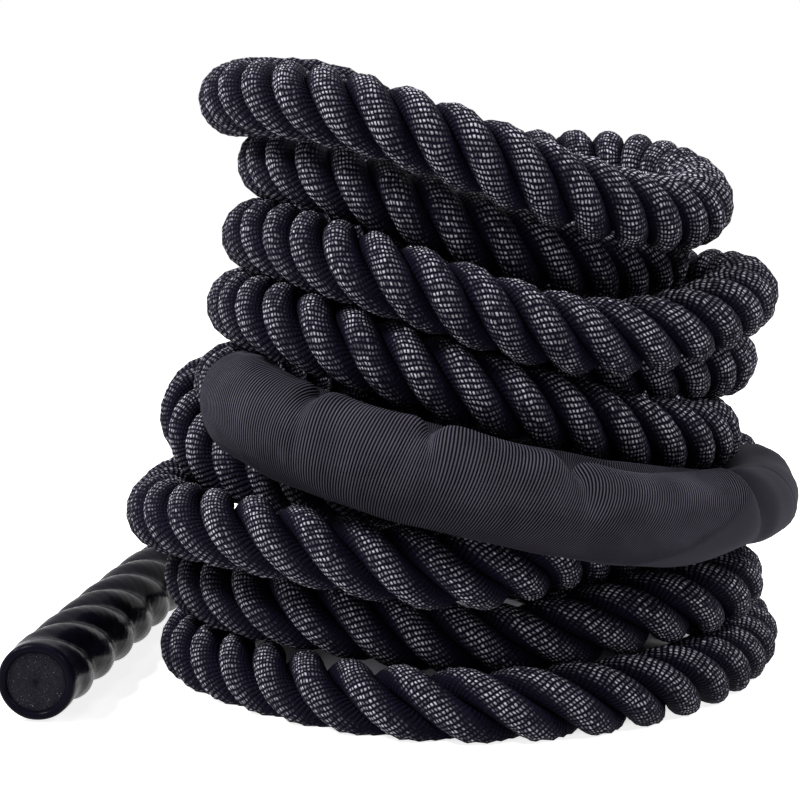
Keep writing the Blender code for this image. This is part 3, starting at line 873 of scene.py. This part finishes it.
def fibre_material():
    """Cut fibre ends: a dark rough face with a few bright ends."""
    made, n, shader = new_material("cut_fibres")
    place = object_vector(n)
    speck = n.noise(place, scale=1500.0, detail=1.0)
    lump = n.noise(place, scale=300.0, detail=3.0)
    bright = n.math("MULTIPLY", n.spread(speck, 0.62, 0.80), n.spread(lump, 0.35, 0.7))
    n.join(n.mix(bright, *fibre_tones), shader.inputs["Base Color"])
    n.join(fibre_roughness, shader.inputs["Roughness"])
    n.join(fibre_gloss, shader.inputs["Specular IOR Level"])
    height = n.math("ADD", speck, lump)
    n.join(n.bump(height, distance=0.0006, strength=1.0), shader.inputs["Normal"])
    return made


def seen_rays(n):
    """One for what is seen by the camera or in gloss or glass, nought for what lights the things."""
    path = n.add("ShaderNodeLightPath").outputs
    mirrored = n.math("MAXIMUM", path["Is Glossy Ray"], path["Is Transmission Ray"])
    return n.math("MAXIMUM", path["Is Camera Ray"], mirrored)


def floor_material():
    """White paint that also glows to the camera and in gloss, so that little but the pile's shade shows.

    An ellipse under and behind the pile, whose front edge is the pile's, has no glow and a darker paint, a
    painted shadow.
    """
    made = bpy.data.materials.new("white_floor")
    n = blank_nodes(made)
    from_pile = n.vector("DISTANCE", object_vector(n), tuple(pile_place))
    shifted = n.vector("SUBTRACT", object_vector(n), shade_place)
    in_ellipse = n.vector("LENGTH", n.vector("MULTIPLY", shifted, shade_scale))
    lit = n.math("MULTIPLY", n.spread(in_ellipse, 0.8, 1.0), n.spread(from_pile, 0.3, 1.6, 0.85, 1.0))
    glow = n.add("ShaderNodeEmission")
    n.join(white, glow.inputs["Color"])
    n.join(n.math("MULTIPLY", seen_rays(n), lit), glow.inputs["Strength"])
    paint = n.add("ShaderNodeBsdfDiffuse")
    # Painted shadow: the paint is darker inside the ellipse under the pile.
    n.join(n.mix(n.spread(in_ellipse, 0.6, 0.95), *floor_tones), paint.inputs["Color"])
    both = n.fill(n.add("ShaderNodeAddShader"), paint.outputs[0], glow.outputs[0])[0]
    n.join(both, n.add("ShaderNodeOutputMaterial").inputs["Surface"])
    return made


def make_stage():
    """A floor, and a world that is white to the camera and in gloss and lights the things only a little."""
    mesh = bpy.data.meshes.new("floor")
    corners = [(-floor_reach, -floor_reach, 0), (floor_reach, -floor_reach, 0),
               (floor_reach, floor_reach, 0), (-floor_reach, floor_reach, 0)]
    mesh.from_pydata(corners, [], [(0, 1, 2, 3)])
    floor = show(mesh, floor_material())

    world = bpy.data.worlds.new("studio")
    bpy.context.scene.world = world
    n = blank_nodes(world)
    sky = n.add("ShaderNodeBackground")
    n.join(white, sky.inputs["Color"])
    n.join(n.math("MULTIPLY_ADD", seen_rays(n), 1 - world_light, world_light), sky.inputs["Strength"])
    n.join(sky.outputs[0], n.add("ShaderNodeOutputWorld").inputs["Surface"])


def make_light(name, place, aim, size, power):
    """A square soft light at the place, turned to the aim."""
    data = bpy.data.lights.new(name, "AREA")
    data.shape = "SQUARE"
    data.size = size
    data.energy = power
    lamp = bpy.data.objects.new(name, data)
    lamp.location = place
    lamp.rotation_euler = (Vector(aim) - Vector(place)).to_track_quat("-Z", "Y").to_euler()
    bpy.context.scene.collection.objects.link(lamp)


def light_scene():
    """A large soft light from above the front left, a weaker one from the right, one overhead, and a small
    one far to the left that draws the gloss of the handle."""
    pile_middle = (0, -0.1, 0.15)
    make_light("key", (-1.8, -0.8, 2.4), pile_middle, size=0.7, power=95)
    make_light("right_fill", (1.6, -0.6, 1.7), pile_middle, size=0.6, power=26)
    make_light("overhead", (0.1, 0.3, 2.2), (0, 0, 0.1), size=1.0, power=6)
    make_light("gloss", (-1.7, 0.5, 1.3), (-0.16, -0.15, 0.02), size=0.16, power=9)


make_camera()
bpy.context.scene.view_settings.view_transform = "Standard"
make_stage()
light_scene()

film_look = film_material()
fibre_look = fibre_material()
rope, line, turned = make_rope(rope_material())
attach(rope, "rope")
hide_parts("rope_coil", "rope_tail_lower", "rope_tail_upper", "strand_lower_1", "strand_lower_2",
            "strand_lower_3", "strand_upper_1", "strand_upper_2", "strand_upper_3")

handles = []
for side, (place, way), run in zip(("lower", "upper"), handle_frames(), (1, -1)):
    film = make_film("handle_film_" + side, place + pile_place, way, strand_turn(turned, run), film_look)
    face = make_fibre_face("fibre_face_" + side, place + pile_place, way, fibre_look)
    for piece in (film, face):
        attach(piece, "rope")
    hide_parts("handle_" + side)
    handles += [film, face]

sleeve = make_sleeve(sleeve_material())
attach(sleeve, "sleeve")
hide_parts("anchor_sleeve")
